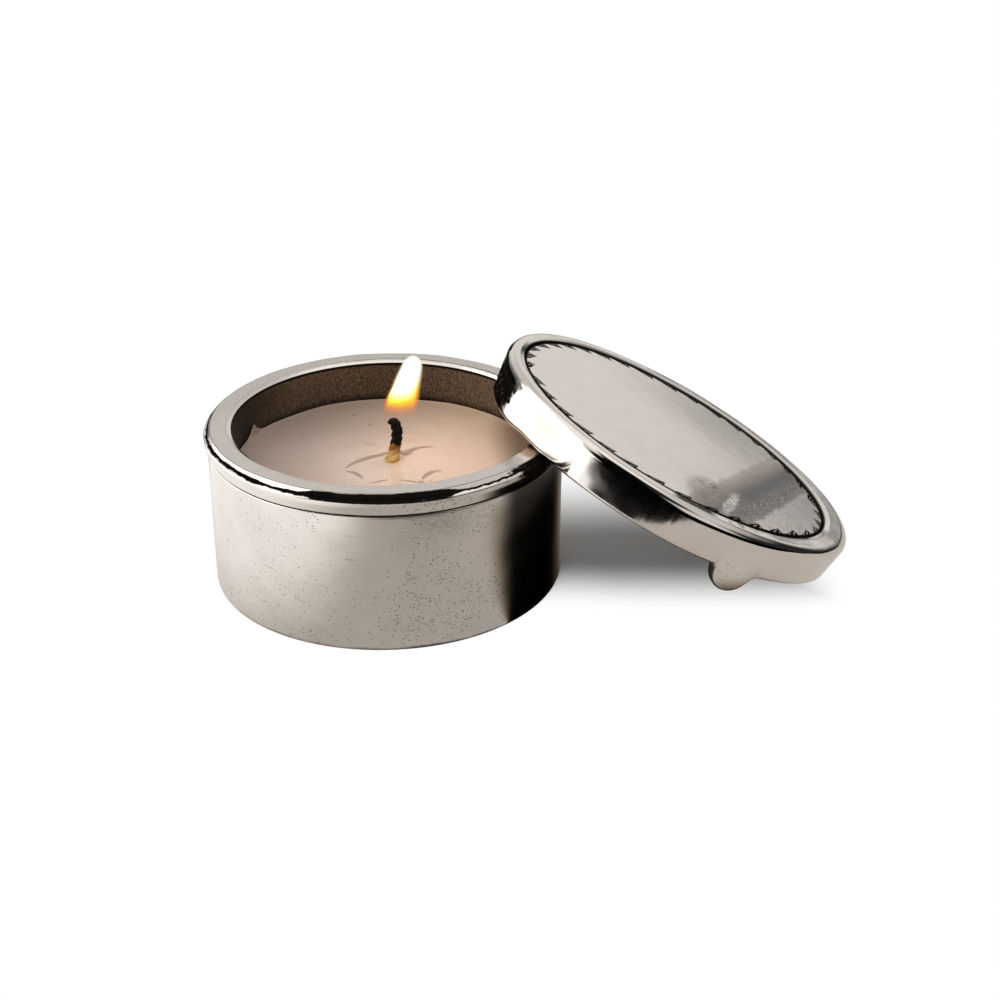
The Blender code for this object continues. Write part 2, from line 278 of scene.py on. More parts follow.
# %% The node bench
class Bench:
    """A new material or world and its node tree."""

    def __init__(self, name, kind=bpy.data.materials):
        self.owner = kind.new(name)
        self.owner.use_nodes = True
        self.tree = self.owner.node_tree
        self.tree.nodes.clear()

    def node(self, kind, settings=None, sockets=None, out=0):
        made = self.tree.nodes.new(kind)
        for name, value in (settings or {}).items():
            if name == "stops":
                ramp = made.color_ramp
                while len(ramp.elements) < len(value):
                    ramp.elements.new(0.5)
                for stop, (place, colour) in zip(ramp.elements, value):
                    stop.position = place
                    stop.color = (*colour, 1)
            else:
                setattr(made, name, value)
        for name, value in (sockets or {}).items():
            socket = made.inputs[name]
            if isinstance(value, Wire):
                self.tree.links.new(value.socket, socket)
            elif socket.type == "RGBA" and len(value) == 3:
                socket.default_value = (*value, 1)
            else:
                socket.default_value = value
        return Wire(self, made.outputs[out])

    def other(self, wire, name):
        """Another output of the node that a wire comes from."""
        return Wire(self, wire.socket.node.outputs[name])

    def place(self, on_lid=False):
        """A point's place seen from the axis that its piece was turned about."""
        here = self.node("ShaderNodeTexCoord", out="Object")
        if not on_lid:
            return here
        back = LID_AT.inverted()
        return self.node("ShaderNodeMapping", {"vector_type": "POINT"},
                         {"Vector": here, "Location": back.translation, "Rotation": back.to_euler()})

    def apart(self, vector):
        """The x, y and z of a vector."""
        x = self.node("ShaderNodeSeparateXYZ", None, {0: vector})
        return [x, self.other(x, 1), self.other(x, 2)]

    def stretched(self, vector, factors):
        return self.node("ShaderNodeVectorMath", {"operation": "MULTIPLY"}, {0: vector, 1: factors})

    def noise(self, vector, scale, detail=2.0, roughness=0.5):
        return self.node("ShaderNodeTexNoise", None,
                         {"Vector": vector, "Scale": scale, "Detail": detail, "Roughness": roughness})

    def mark(self, name):
        """A value kept on the mesh's points."""
        return self.node("ShaderNodeAttribute", {"attribute_name": name}, None, "Fac")

    def colours(self, share, first, second):
        """Blend two colours."""
        return self.node("ShaderNodeMix", {"data_type": "RGBA"}, {0: share, 6: first, 7: second}, 2)

    def ramp(self, share, stops):
        return self.node("ShaderNodeValToRGB", {"stops": stops}, {"Fac": share}, "Color")

    def bump(self, height, distance):
        """Relief from a height, with its distance in mm."""
        return self.node("ShaderNodeBump", None, {"Height": height, "Distance": distance * MM, "Strength": 1})

    def glow(self, colour, strength):
        return self.node("ShaderNodeEmission", None, {"Color": colour, "Strength": strength})

    def shaders(self, share, first, second):
        """Blend two shaders."""
        return self.node("ShaderNodeMixShader", None, {0: share, 1: first, 2: second})

    def show(self, shader, kind="ShaderNodeOutputMaterial"):
        """Send a shader to the output node."""
        self.tree.links.new(shader.socket, self.tree.nodes.new(kind).inputs["Surface"])
        print("finish", self.owner.name, "with", len(self.tree.nodes), "nodes")
        return self.owner

    def finish(self, sockets):
        return self.show(self.node("ShaderNodeBsdfPrincipled", None, sockets))


# %% [markdown]
# ## Pewter
#
# Pewter is a warm grey metal, polished by hand and left to dull: satin reflections,
# casting pits that the polish never reached, fine lines along the turning, and
# near-black tarnish in every groove.  One class holds what all the pewter has in
# common.  The same near-black also paints dark reflections where the metal faces
# something dark.  Tarnish counts as metal until it is nearly full, since half a metal
# would shine pale grey.  The pits are dots, one to a cell of a Voronoi texture, kept
# where the cell's number is under a mask, as real pits gather in patches too.

# %% What all pewter has in common
PEWTER = (0.8, 0.752, 0.705)
TARNISH_AND_DARK_REFLECTION = (0.006, 0.005, 0.004)


def line(distance, half_width, softness):
    """1 on a line and 0 beyond its edges, by the distance across it."""
    share = distance / half_width
    return (1 - share * share).ease(0.0, softness)


class Pewter:
    """A pewter finish that is built up step by step."""

    def __init__(self, name, roughness, on_lid=False):
        self.bench = Bench(name)
        self.place = self.bench.place(on_lid)
        x, y, z = self.bench.apart(self.place)
        self.reach = (x * x + y * y) ** 0.5
        self.axes = (x, y, z, self.reach)
        self.grain = self.noise(3600, 3.0, 0.7)
        self.slow = self.noise(160)
        self.colour = PEWTER
        self.tinted(self.slow.ease(0.3, 0.7) * 0.3, tuple(value * 0.9 for value in PEWTER))
        self.tarnish_and_dark_reflection = self.grain.ease(0.66, 0.8) * 0.25
        self.rough = roughness + self.slow * 0.04
        self.height = self.grain * 0.06 + self.slow * 0.35

    def noise(self, scale, detail=2.0, roughness=0.5, along=1.0):
        """Noise at the surface, drawn out along the turning where along is under 1."""
        place = self.place
        if along < 1:
            place = self.bench.stretched(place, (along, along, 1.0))
        return self.bench.noise(place, scale, detail, roughness)

    def toward(self, x, y):
        """How straight a point lies in one direction from the axis, 1 at the most."""
        return (self.axes[0] * x + self.axes[1] * y) / self.reach

    def tinted(self, mask, colour):
        self.colour = self.bench.colours(mask, self.colour, colour)

    def add_tarnish_and_dark_reflection(self, mask):
        """Tarnish that the polish cannot reach, and painted dark reflection where a mask stands for one."""
        self.tarnish_and_dark_reflection = self.tarnish_and_dark_reflection.most(mask)

    def grained(self, amount, where=1.0):
        """Darken the surface grain by grain, more where a mask says so."""
        dark = (self.grain.ease(0.38, 0.72) * amount) * where
        self.tinted(dark, tuple(value * 0.32 for value in PEWTER))
        self.height = self.height - dark * 0.25

    def pitted(self, amount, where):
        """Casting pits: small dots, one to a cell, kept where the cell's number is under a mask."""
        wobble = self.bench.stretched(self.bench.other(self.grain, "Color"), (0.0001, 0.0001, 0.0001))
        place = self.bench.node("ShaderNodeVectorMath", {"operation": "ADD"}, {0: self.place, 1: wobble})
        cell = self.bench.node("ShaderNodeTexVoronoi", None, {"Vector": place, "Scale": 1700.0}, "Distance")
        number = self.bench.apart(self.bench.other(cell, "Color"))[0]
        pits = cell.fade(0.1, 0.36) * (where - number).ease(0.0, 0.04) * amount
        self.add_tarnish_and_dark_reflection(pits)
        self.height = self.height - pits * 0.3

    def scratched(self, amount):
        """Short dark strokes along the turning, and the fine lines of the lathe."""
        strokes = self.noise(1900, 1.0, along=0.1).ease(0.66, 0.78)
        strokes = strokes * self.noise(120).ease(0.45, 0.6) * amount
        lines = self.noise(2600, 3.0, 0.7, along=0.04)
        brushed = self.noise(700, 3.0, 0.6, along=0.25)
        self.add_tarnish_and_dark_reflection(strokes)
        self.height = self.height + (lines - strokes) * 0.14 + brushed * 0.1

    def done(self, distance):
        colour = self.bench.colours(self.tarnish_and_dark_reflection, self.colour, TARNISH_AND_DARK_REFLECTION)
        return self.bench.finish({
            "Base Color": colour, "Metallic": self.tarnish_and_dark_reflection.fade(0.85, 0.99), "Specular IOR Level": 0.0,
            "Roughness": self.rough + self.tarnish_and_dark_reflection * 0.05, "Normal": self.bench.bump(self.height, distance)})


# %% The plain underside
pewter = Pewter("pewter_plain_underside", 0.32)
pewter.grained(0.4)
pewter.scratched(0.5)
underside = pewter.done(0.08)

# %% [markdown]
# ## The finish of the box
#
# The side has pits in patches, most of them low down, and a dark foot, painted contact
# shadow and dark reflection.  The rim has a black line in its crease, which widens into
# a ragged band in front, a painted dark reflection.  Both carry a painted dark
# reflection where they face the lid.  A painted image could hold this, but masks made of
# a point's place stay sharp from near by and need no unwrapping.

# %% The finish of the wall, outside and inside
CHAMFER_START = BOX_RADIUS - 0.72 * MM
CHAMFER_END = BOX_TOP - 0.88 * MM
CREASE = CHAMFER_END - 0.22 * MM
LIP_WIDTH = 0.95 * MM
LIP_DROP = 0.6 * MM
NEAR_LID = (0.79, -0.61)
NEAR_LOBE = (0.225, -0.974)


def inner_wall(pewter):
    """The mouth was never polished: brown, grainy metal, with painted shade in a black line under the lip, at
    the left end and down by the wax.
    """
    x, y, z, reach = pewter.axes
    lip = BOX_TOP - LIP_DROP
    inside = reach.fade(MOUTH_RADIUS + 0.2 * MM, MOUTH_RADIUS + 0.34 * MM) * z.fade(lip - 0.16 * MM, lip)
    grit = pewter.noise(2400, 3.0, 0.75).ease(0.3, 0.7)
    pewter.tinted(inside, pewter.bench.colours(grit, (0.05, 0.038, 0.027), (0.37, 0.295, 0.22)))
    # Painted shade: a black line just under the lip.
    pewter.add_tarnish_and_dark_reflection(inside * z.ease(lip - 1.0 * MM, lip - 0.5 * MM))
    # Painted shade at the mouth's left end and down by the wax.
    mouth_shade = x.fade(-0.035, -0.02).most(z.fade(WAX_TOP, WAX_TOP + 2.6 * MM))
    pewter.add_tarnish_and_dark_reflection(inside * mouth_shade * (0.35 + pewter.slow * 0.6))
    pewter.rough = pewter.rough + inside * 0.3
    pewter.height = pewter.height + inside * grit * 0.6


pewter = Pewter("pewter_turned_body", 0.17)
x, y, z, reach = pewter.axes
patches = pewter.noise(60, 2.0, 0.6).ease(0.4, 0.62)
pewter.grained(0.34, 0.35 + patches * 0.65)
pewter.scratched(0.3)
# Painted dark reflection: the side turns near-black where it faces the dark gap under the lid.
by_lid = pewter.toward(*NEAR_LID).ease(0.945, 0.98)
cluster = (((x - 0.011) / 0.017) ** 2 + ((z - 0.012) / 0.013) ** 2) ** 0.5
cluster = cluster.fade(0.35, 1.2) * y.fade(-0.02, 0.0)
pits = z.fade(0.006, 0.022) * 0.22 + patches * 0.12 + cluster * pewter.noise(260).ease(0.3, 0.65) * 0.75
pewter.pitted(0.95, pits * (1 - by_lid))
# Painted shade along the foot: a contact shadow and a dark reflection on its rounding, darker towards the
# right.
foot = z + (pewter.slow - 0.5) * 0.0012
pewter.add_tarnish_and_dark_reflection(foot.fade(0.6 * MM, 1.5 * MM) * (0.6 + x.ease(-0.02, 0.01) * 0.38))
pewter.add_tarnish_and_dark_reflection(by_lid * z.ease(0.012, 0.021) * 0.84)
inner_wall(pewter)
side_finish = pewter.done(0.07)

# %% The finish of the rim
pewter = Pewter("pewter_polished_rim", 0.1)
x, y, z, reach = pewter.axes
flat = z.ease(BOX_TOP - 0.4 * MM, BOX_TOP - 0.16 * MM)
collar = z.fade(BOX_TOP - 2.4 * MM, BOX_TOP - 1.9 * MM)
turned = pewter.bench.node("ShaderNodeCombineXYZ", None, {0: reach, 1: x * 0.08, 2: y * 0.08})
turned = pewter.bench.noise(turned, 2600, 3.0, 0.6).ease(0.42, 0.72)
pewter.grained(0.4, flat * (0.1 + y.ease(-0.02, 0.03) * 1.9 + turned * 0.8) + collar * 0.35)
pewter.rough = pewter.rough + flat * 0.1 + collar * 0.06
pewter.pitted(0.8, pewter.noise(70).ease(0.5, 0.66) * 0.06)
ragged = pewter.noise(420, 3.0, 0.6) - 0.5
heavier = x.fade(-0.026, -0.004) * y.fade(-0.01, 0.01)
half_height = heavier * (pewter.slow * 0.5 * MM - 0.08 * MM) + 0.28 * MM
crease = line(CREASE - z + ragged * 0.0007, half_height, 0.5)
crease = crease * reach.ease(BOX_RADIUS - 0.5 * MM, BOX_RADIUS - 0.2 * MM)
chamfer = (CHAMFER_START - 0.05 * MM, CHAMFER_START + 0.1 * MM)
# In front, a painted dark reflection blackens the chamfer and crease in a ragged band.
in_front = pewter.toward(-0.08, -0.997)
narrower = in_front.fade(0.89, 0.95)
low_edge = (z + ragged * 0.0012 - narrower * 0.0007).ease(CREASE - 0.8 * MM, CREASE - 0.66 * MM)
high_edge = (reach + ragged * 0.0005 - narrower * 0.0006).ease(*chamfer)
band = (in_front + ragged * 0.05).ease(0.885, 0.9) * low_edge * high_edge
pewter.add_tarnish_and_dark_reflection(crease.most(band))
# Painted dark reflection on the chamfer where it faces the lid, in streaks.
streaks = pewter.noise(900, 3.0, 0.6, along=0.25) - 0.5
by_lid = (pewter.toward(*NEAR_LID) + streaks * 0.16).ease(0.965, 0.985)
pewter.add_tarnish_and_dark_reflection(by_lid * reach.ease(*chamfer))
outer_line = line(reach - CHAMFER_START + 0.1 * MM + ragged * 0.0003, 0.11 * MM, 0.7)
pewter.add_tarnish_and_dark_reflection(outer_line * flat * 0.75)
inner_line = line(reach - MOUTH_RADIUS - LIP_WIDTH - 0.25 * MM + ragged * 0.0005, 0.2 * MM, 0.7)
behind = 0.12 + y.ease(-0.01, 0.01) * x.ease(-0.02, 0.01) * 0.85
pewter.add_tarnish_and_dark_reflection(inner_line * flat * behind)
pocked = pewter.toward(*NEAR_LOBE).ease(0.975, 0.992)
pewter.pitted(1.0, pocked * collar * pewter.noise(400).ease(0.3, 0.5))
inner_wall(pewter)
rim_finish = pewter.done(0.06)

# %% [markdown]
# ## The finish of the lid
#
# The lid is polished brightest.  It has tarnish at the foot of its border, and painted
# dark reflections: a black left end with painted glints, dark streaks on the border and a
# dark line along the lobe's left edge.  The plate has a painted reflection in a slanting
# band, a ramp of colours across it, and three spots of other colours.  Each is a mask of
# its own, easy to move or leave out.

# %% The finish of the ring
BORDER_SHIFT = -1.5 * MM

pewter = Pewter("pewter_polished_lid", 0.05, on_lid=True)
x, y, z, reach = pewter.axes
centred = ((x - BORDER_SHIFT) ** 2 + y ** 2) ** 0.5
pewter.grained(0.26, 0.35 + z.ease(-0.1 * MM, 0.1 * MM) * 0.6)
pewter.add_tarnish_and_dark_reflection(z.fade(0.05 * MM, 0.24 * MM) * centred.fade(42.2 * MM, 42.5 * MM) * 0.97)
# Painted dark reflection along the lobe's left edge.
pewter.add_tarnish_and_dark_reflection(pewter.bench.mark("notch") * 0.95)
ragged = pewter.noise(500, 3.0, 0.6) - 0.5
# Painted dark reflection: the skirt's left end is brown-black, lighter near the top, with painted glints.
left_end = (x + ragged * 0.0016).fade(-45.8 * MM, -45.4 * MM) * z.fade(-1.5 * MM, -0.4 * MM)
painted_glints = pewter.noise(1300, 1.0).ease(0.66, 0.72)
dark_reflection_share = 1 - z.ease(-4.5 * MM, -1.0 * MM) * 0.35 - painted_glints * 0.5
pewter.tinted(left_end, (0.13, 0.1, 0.072))
pewter.add_tarnish_and_dark_reflection(left_end * dark_reflection_share)
# Painted dark reflections: streaks across the border's crown in front.
across = centred + ragged * 0.0009
streak = across.ease(42.8 * MM, 43.1 * MM) * across.fade(44.9 * MM, 45.3 * MM)
sector = (pewter.toward(-0.156, -0.988) + ragged * 0.003).ease(0.99, 0.9965)
pewter.add_tarnish_and_dark_reflection(sector * streak * 0.95)
wide = pewter.toward(0.017, -1.0).ease(0.955, 0.985)
pewter.add_tarnish_and_dark_reflection(wide * streak * pewter.noise(330).ease(0.48, 0.62) * 0.6)
by_lobe = pewter.toward(*NEAR_LOBE).ease(0.988, 0.996) * z.fade(-7.5 * MM, -5.5 * MM)
by_lobe = by_lobe * pewter.noise(350).ease(0.42, 0.6)
pewter.pitted(0.7, pewter.slow.ease(0.55, 0.8) * 0.05 + by_lobe * 0.5)
lid_finish = pewter.done(0.05)

# %% The finish of the plate
# Painted reflection: a near-black band across the plate, fading in through browns on either side.
PAINTED_REFLECTION_BAND = [(0.0, PEWTER), (0.08, (0.56, 0.49, 0.42)), (0.22, (0.34, 0.285, 0.235)),
             (0.34, (0.18, 0.15, 0.125)), (0.44, (0.045, 0.05, 0.058)), (0.58, (0.052, 0.053, 0.056)),
             (0.72, (0.12, 0.104, 0.09)), (0.91, (0.18, 0.155, 0.135)), (0.96, PEWTER)]
BAND_START = 15.0 * MM
BAND_WIDTH = 15.6 * MM


def spot(pewter, middle, along, half_length, half_width):
    """1 in the middle of an oval on the plate, falling to 0 at its edge."""
    x = pewter.axes[0] - middle[0] * MM
    y = pewter.axes[1] - middle[1] * MM
    lengthwise = (x * along[0] + y * along[1]) / (half_length * MM)
    sideways = (x * along[1] - y * along[0]) / (half_width * MM)
    return ((lengthwise ** 2 + sideways ** 2) ** 0.5 + (pewter.slow - 0.5) * 0.5).fade(0.35, 1.0)


pewter = Pewter("pewter_engraved_plate", 0.1, on_lid=True)
bench = pewter.bench
x, y, z, reach = pewter.axes
across = x * 0.825 - y * 0.565
along = x * 0.565 + y * 0.825
frayed = (pewter.grain - 0.5) * 0.0035 + (pewter.slow - 0.5) * 0.002
# The painted reflection band runs slanting across the plate's downhill end.
share = (across + frayed - BAND_START) / BAND_WIDTH
band = bench.ramp(share, PAINTED_REFLECTION_BAND)
paler = bench.colours(0.6, band, (0.22, 0.19, 0.155))
band = bench.colours(along.ease(-0.02, -0.004) * 0.85 + 0.15, paler, band)
inside = share.ease(0.0, 0.06) * share.fade(0.93, 0.97)
pewter.tinted(inside, band)
pewter.rough = pewter.rough + share.ease(0.0, 0.3) * share.fade(0.8, 1.0) * 0.15
speckle = pewter.noise(1900, 2.0, 0.6)
# Three spots: one darker, one freckled dark, and one a pale speckled streak.
dark_spot = spot(pewter, (-1.0, -29.5), (0.4, 0.917), 13.0, 5.4)
freckled_spot = spot(pewter, (3.4, -24.0), (0.4, 0.917), 5.5, 2.8)
pale_streak = spot(pewter, (6.4, -30.5), (0.43, 0.903), 13.0, 1.9)
pewter.tinted(dark_spot * 0.68, (0.2, 0.172, 0.145))
pewter.tinted(pale_streak * speckle.ease(0.4, 0.52), (0.88, 0.84, 0.79))
pale = (inside * share.ease(0.5, 0.72)).most(dark_spot) * speckle.ease(0.54, 0.64)
pewter.tinted(pale * 0.4, PEWTER)
pewter.grained(0.3, 0.6)
freckled = inside * (0.12 + share.ease(0.5, 0.75) * 0.45)
freckled = freckled.most(freckled_spot * 0.97).most(dark_spot * 0.45).most(share.ease(0.9, 1.0) * 0.35)
pewter.add_tarnish_and_dark_reflection(speckle.fade(0.38, 0.48) * freckled)
pewter.pitted(0.75, dark_spot * 0.25 + pewter.slow.ease(0.5, 0.8) * 0.03)
pewter.add_tarnish_and_dark_reflection(bench.mark("cut"))
plate_finish = pewter.done(0.045)

# %% [markdown]
# ## The side wall and the base
#
# The wall is turned from a casting nearly 6 mm thick.  It is one closed outline
# turned about the axis, a touch out of round, with a step inside its mouth that the
# rim's collar drops into.  The base is a plain disc let into it and seen only from
# below, so the CAD disc stays and just takes a finish.

# %% Turn the wall
COLLAR_END = WAX_TOP - 2.0 * MM
COLLAR_WALL = 0.6 * MM
CLEARANCE = 0.1 * MM


def uneven_box(points, amount):
    """Move points of the box in and out, but leave the foot flat and the mouth round."""
    outer = ease(np.linalg.norm(points[..., :2], axis=-1), MOUTH_RADIUS + 1 * MM, BOX_RADIUS - 1 * MM)
    lift = ease(points[..., 2], 0.4 * MM, 6 * MM)
    move = swell(points, 30, 3) * 0.6 + swell(points, 9, 4) * 0.25
    return points + outward(points) * (move * outer * lift * amount)[..., None]


columns = 300
step = MOUTH_RADIUS + COLLAR_WALL + CLEARANCE
ledge = COLLAR_END - CLEARANCE
outline = rounded([
    (step, WALL_TOP, 0), (BOX_RADIUS, WALL_TOP, 0.15), (BOX_RADIUS, 0, 1.4),
    (MOUTH_RADIUS, 0, 0), (MOUTH_RADIUS, ledge, 0), (step, ledge, 0)], 0.9)
points = uneven_box(turn(outline, around(columns)), 0.1 * MM)
wall = make_object("turned_wall", points, ring_faces(columns, len(outline)), "box")
dress(wall, side_finish)
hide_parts("box_wall")
dress(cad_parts["box_base"], underside)

# %% [markdown]
# ## The rolled rim
#
# The rim has a small lip that slants into the mouth, a flat top, a chamfer, and under
# it a crease over a soft bead, which meets the wall at the seam.  The seam is the
# real 0.3 mm gap between two meshes, so it needs no drawing.  As on the lathe, all of
# it is one outline.

# %% Turn the rim
columns = 420
top = BOX_TOP
outline = rounded([
    (MOUTH_RADIUS, top - LIP_DROP, 0.15), (MOUTH_RADIUS + LIP_WIDTH, top, 0.25),
    (CHAMFER_START, top, 0.22), (BOX_RADIUS + 0.05 * MM, CHAMFER_END, 0.1),
    (BOX_RADIUS + 0.02 * MM, CREASE - 0.15 * MM, 0.06),
    (BOX_RADIUS + 0.72 * MM, CREASE - 0.55 * MM, 0.4),
    (BOX_RADIUS + 0.66 * MM, top - 2.9 * MM, 1.2), (BOX_RADIUS + 0.1 * MM, SEAM, 0.4),
    (MOUTH_RADIUS + COLLAR_WALL, SEAM, 0), (MOUTH_RADIUS + COLLAR_WALL, COLLAR_END, 0),
    (MOUTH_RADIUS, COLLAR_END, 0)], 0.35)
points = turn(outline, around(columns))
upper = ease(points[..., 2], top - 2.6 * MM, top - 0.4 * MM)
wander = swell(points, 24, 21) * 0.5 + swell(points, 8, 22) * 0.2
points[..., 2] += wander * 0.12 * MM * upper - 0.06 * MM * upper
points = uneven_box(points, 0.11 * MM)
rim = make_object("rolled_rim", points, ring_faces(columns, len(outline)), "box")
dress(rim, rim_finish)
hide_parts("box_rim")

# %% [markdown]
# ## The wax
#
# The candle was poured, so its edge climbs the wall a little and its top is slightly
# wavy.  Round the wick it has melted and set again, which left thin curved strokes
# and two drops.  The top is a turned grid, fine near the wick, whose points move
# along those strokes; how near each is to one is kept as a mark for the finish.

# %% Distances to listed strokes
def stroke_nearness(points, stroke):
    """1 on a stroke of (x, y, half width) stations, easing to 0 at its edge."""
    best = np.zeros(len(points))
    for (ax, ay, aw), (bx, by, bw) in zip(stroke, stroke[1:]):
        start, along = np.array((ax, ay)), np.array((bx - ax, by - ay))
        share = np.clip((points - start) @ along / (along @ along), 0, 1)
        away = np.linalg.norm(points - start - share[:, None] * along, axis=1)
        best = np.maximum(best, 1 - np.clip(away / (aw + (bw - aw) * share) / 1.25, 0, 1))
    return ease(best, 0, 1)


MELT_STROKES = [
    [(-9.8, -3.4, 0.25), (-8.3, -1.3, 0.62), (-5.8, 0.7, 0.95), (-3.8, 1.8, 1.0), (-1.4, 2.7, 0.85),
     (0.6, 3.9, 0.5)],
    [(-9.7, -5.3, 0.25), (-8.2, -6.1, 0.65), (-7.1, -7.4, 0.65), (-6.1, -9.7, 0.25)],
    [(3.9, 3.6, 1.2), (4.9, 3.2, 1.75), (6.0, 4.4, 1.1), (7.6, 5.7, 0.75), (9.6, 6.2, 0.6),
     (11.8, 6.1, 0.15)],
    [(7.8, -11.7, 0.35), (9.0, -9.6, 0.85), (10.3, -8.2, 0.8), (12.4, -7.6, 0.2)],
    [(-4.2, -12.5, 0.2), (-2.1, -11.6, 0.42), (-0.4, -11.4, 0.2)],
    [(2.4, -11.7, 0.2), (4.3, -12.4, 0.42), (6.4, -13.4, 0.42), (9.6, -13.1, 0.2)],
]
SPECKS = [(-6.6, 27.1, 0.55), (-2.8, 21.0, 0.5), (-19.5, 8.0, 0.35), (14.0, 14.5, 0.3), (-12.0, 18.0, 0.3)]

# %% Pour the wax
columns = 360
centre = 0.3
climb = 34.6
edge = 36.0
low = 3.3
near, far = np.arange(centre, 14.5, 0.22), np.arange(15.2, 34.4, 1.1)
radii = np.concatenate([near, far, np.linspace(climb, edge, 9)]) * MM
heights = WAX_TOP - 0.15 * MM * (1 - (radii / MOUTH_RADIUS) ** 2)
heights += 0.25 * MM * ease(radii, climb * MM, edge * MM) ** 2
outline = np.concatenate([np.stack([radii, heights], 1), [(edge * MM, low * MM), (centre * MM, low * MM)]])
points = turn(outline, around(columns)).reshape(-1, 3)
flat = points[:, :2] / MM
top = np.tile(np.arange(len(outline)) < len(radii), columns)
melt = np.maximum.reduce([stroke_nearness(flat, stroke) for stroke in MELT_STROKES]) * top
near_wick = np.linalg.norm(flat - np.array(WICK_AT[:2]) / MM, axis=1)
soak = np.exp(-np.maximum(near_wick - 1.5, 0) / 0.7) * top
smear_angle = np.degrees(np.arctan2(flat[:, 1], flat[:, 0]))
smear = np.exp(-((smear_angle - 151) / 3.2) ** 2) * ease(np.linalg.norm(flat, axis=1), 35.3, 36.0) * top
rise = soak * 0.35 - melt * 0.16 + smear * (2.3 + swell(points, 1.6, 8) * 0.9)
rise += (swell(points, 16, 5) * 0.06 + swell(points, 4, 6) * 0.025) * top * ease(near_wick, 1, 6)
points[:, 2] += rise * MM
faces = disc_faces(columns, len(outline))
poured = make_object("poured_wax", points, faces, "box", {"melt": melt, "soak": soak})
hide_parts("wax_fill")

# %% [markdown]
# Wax lets light in and scatters it, which a subsurface weight does without any
# drawing.  It is warm and glossy where it melts; its colour holds painted light, lighter
# and warmer towards the right, and painted shade, darker towards the wall.  Bits of
# charred cotton lie on it.

# %% The wax finish
bench = Bench("poured_candle_wax")
place = bench.place()
x, y, z = bench.apart(place)
reach = ((x - WICK_AT.x) ** 2 + (y - WICK_AT.y) ** 2) ** 0.5
cloud = bench.noise(place, 90, 4.0, 0.6)
fine = bench.noise(place, 2300, 3.0, 0.7)
# Painted shade: the wax darkens towards the wall; painted light makes it lighter and warmer towards the
# right.
wall_shade = (((x - 0.01) ** 2 + (y + 0.012) ** 2) ** 0.5 + (cloud - 0.5) * 0.008).ease(0.008, 0.052)
unshaded = bench.colours(x.ease(-0.016, 0.02), (0.63, 0.5, 0.44), (0.73, 0.535, 0.425))
in_shade_colour = bench.colours(x.ease(-0.02, 0.03), (0.25, 0.19, 0.158), (0.42, 0.3, 0.205))
layers = [(wall_shade, in_shade_colour),
          (fine.ease(0.4, 0.75) * 0.26, (0.24, 0.18, 0.14)),
          (bench.mark("melt").ease(0.05, 0.6) * 0.72, (0.23, 0.165, 0.125)),
          (bench.mark("soak").ease(0.12, 0.95) * 0.9, (0.74, 0.46, 0.13))]
for speck_x, speck_y, size in SPECKS:
    near = ((x - speck_x * MM) ** 2 + (y - speck_y * MM) ** 2) ** 0.5
    layers.append((near.fade(size * 0.4 * MM, size * MM) * 0.75, (0.09, 0.06, 0.05)))
colour = unshaded
for share, shade in layers:
    colour = bench.colours(share, colour, shade)
wax_finish = bench.finish({
    "Base Color": colour, "Roughness": 0.07 + reach.ease(0.01, 0.02) * 0.4 + cloud * 0.05,
    "Normal": bench.bump(cloud * 0.5 + fine * reach.ease(0.008, 0.016) * 0.1, 0.1),
    "Subsurface Weight": 0.25, "Subsurface Radius": (1, 0.55, 0.35), "Subsurface Scale": 0.002, "IOR": 1.44})
dress(poured, wax_finish)

# %% [markdown]
# ## The wick
#
# A candle wick is a flat braid of cotton.  Three round strands are swept along one
# bent path and wind round each other; where the cotton burned, they shrink and the
# tip curls over.  A plain tube would lose the knobbly outline that shows against the
# pale wax.

# %% Sweep a tube
def sweep(path, radii, sides):
    """Points of a tube along a path, as sides by rows by 3."""
    tangents = unit(np.gradient(path, axis=0))
    side = unit(np.cross(tangents, (0.0, 1.0, 0.0)))
    other = np.cross(tangents, side)
    angles = around(sides)[:, None, None]
    return path + (side * np.cos(angles) + other * np.sin(angles)) * radii[:, None]


# %% Smooth the wick's path, given by a few (x, y, z) stations in mm
WICK_STATIONS = [(1.4, -1.0, 4.2), (1.4, -1.0, 24), (1.2, -1.2, 28.4), (1.9, -1.0, 31.2),
                 (2.65, -1.0, 34.4), (2.75, -1.05, 37.2), (1.9, -1.2, 39.3), (0.75, -1.3, 38.5)]
path = np.array(WICK_STATIONS) * MM
for _ in range(4):
    cut = np.empty((2 * len(path) - 2, 3))
    cut[0::2] = path[:-1] * 0.75 + path[1:] * 0.25
    cut[1::2] = path[:-1] * 0.25 + path[1:] * 0.75
    path = np.concatenate([path[:1], cut, path[-1:]])
lengths = np.concatenate([[0], np.cumsum(np.linalg.norm(np.diff(path, axis=0), axis=1))])
at = np.linspace(0, lengths[-1], 220)
path = np.stack([np.interp(at, lengths, column) for column in path.T], 1)
print("wick", round(lengths[-1] / MM, 1), "mm long")

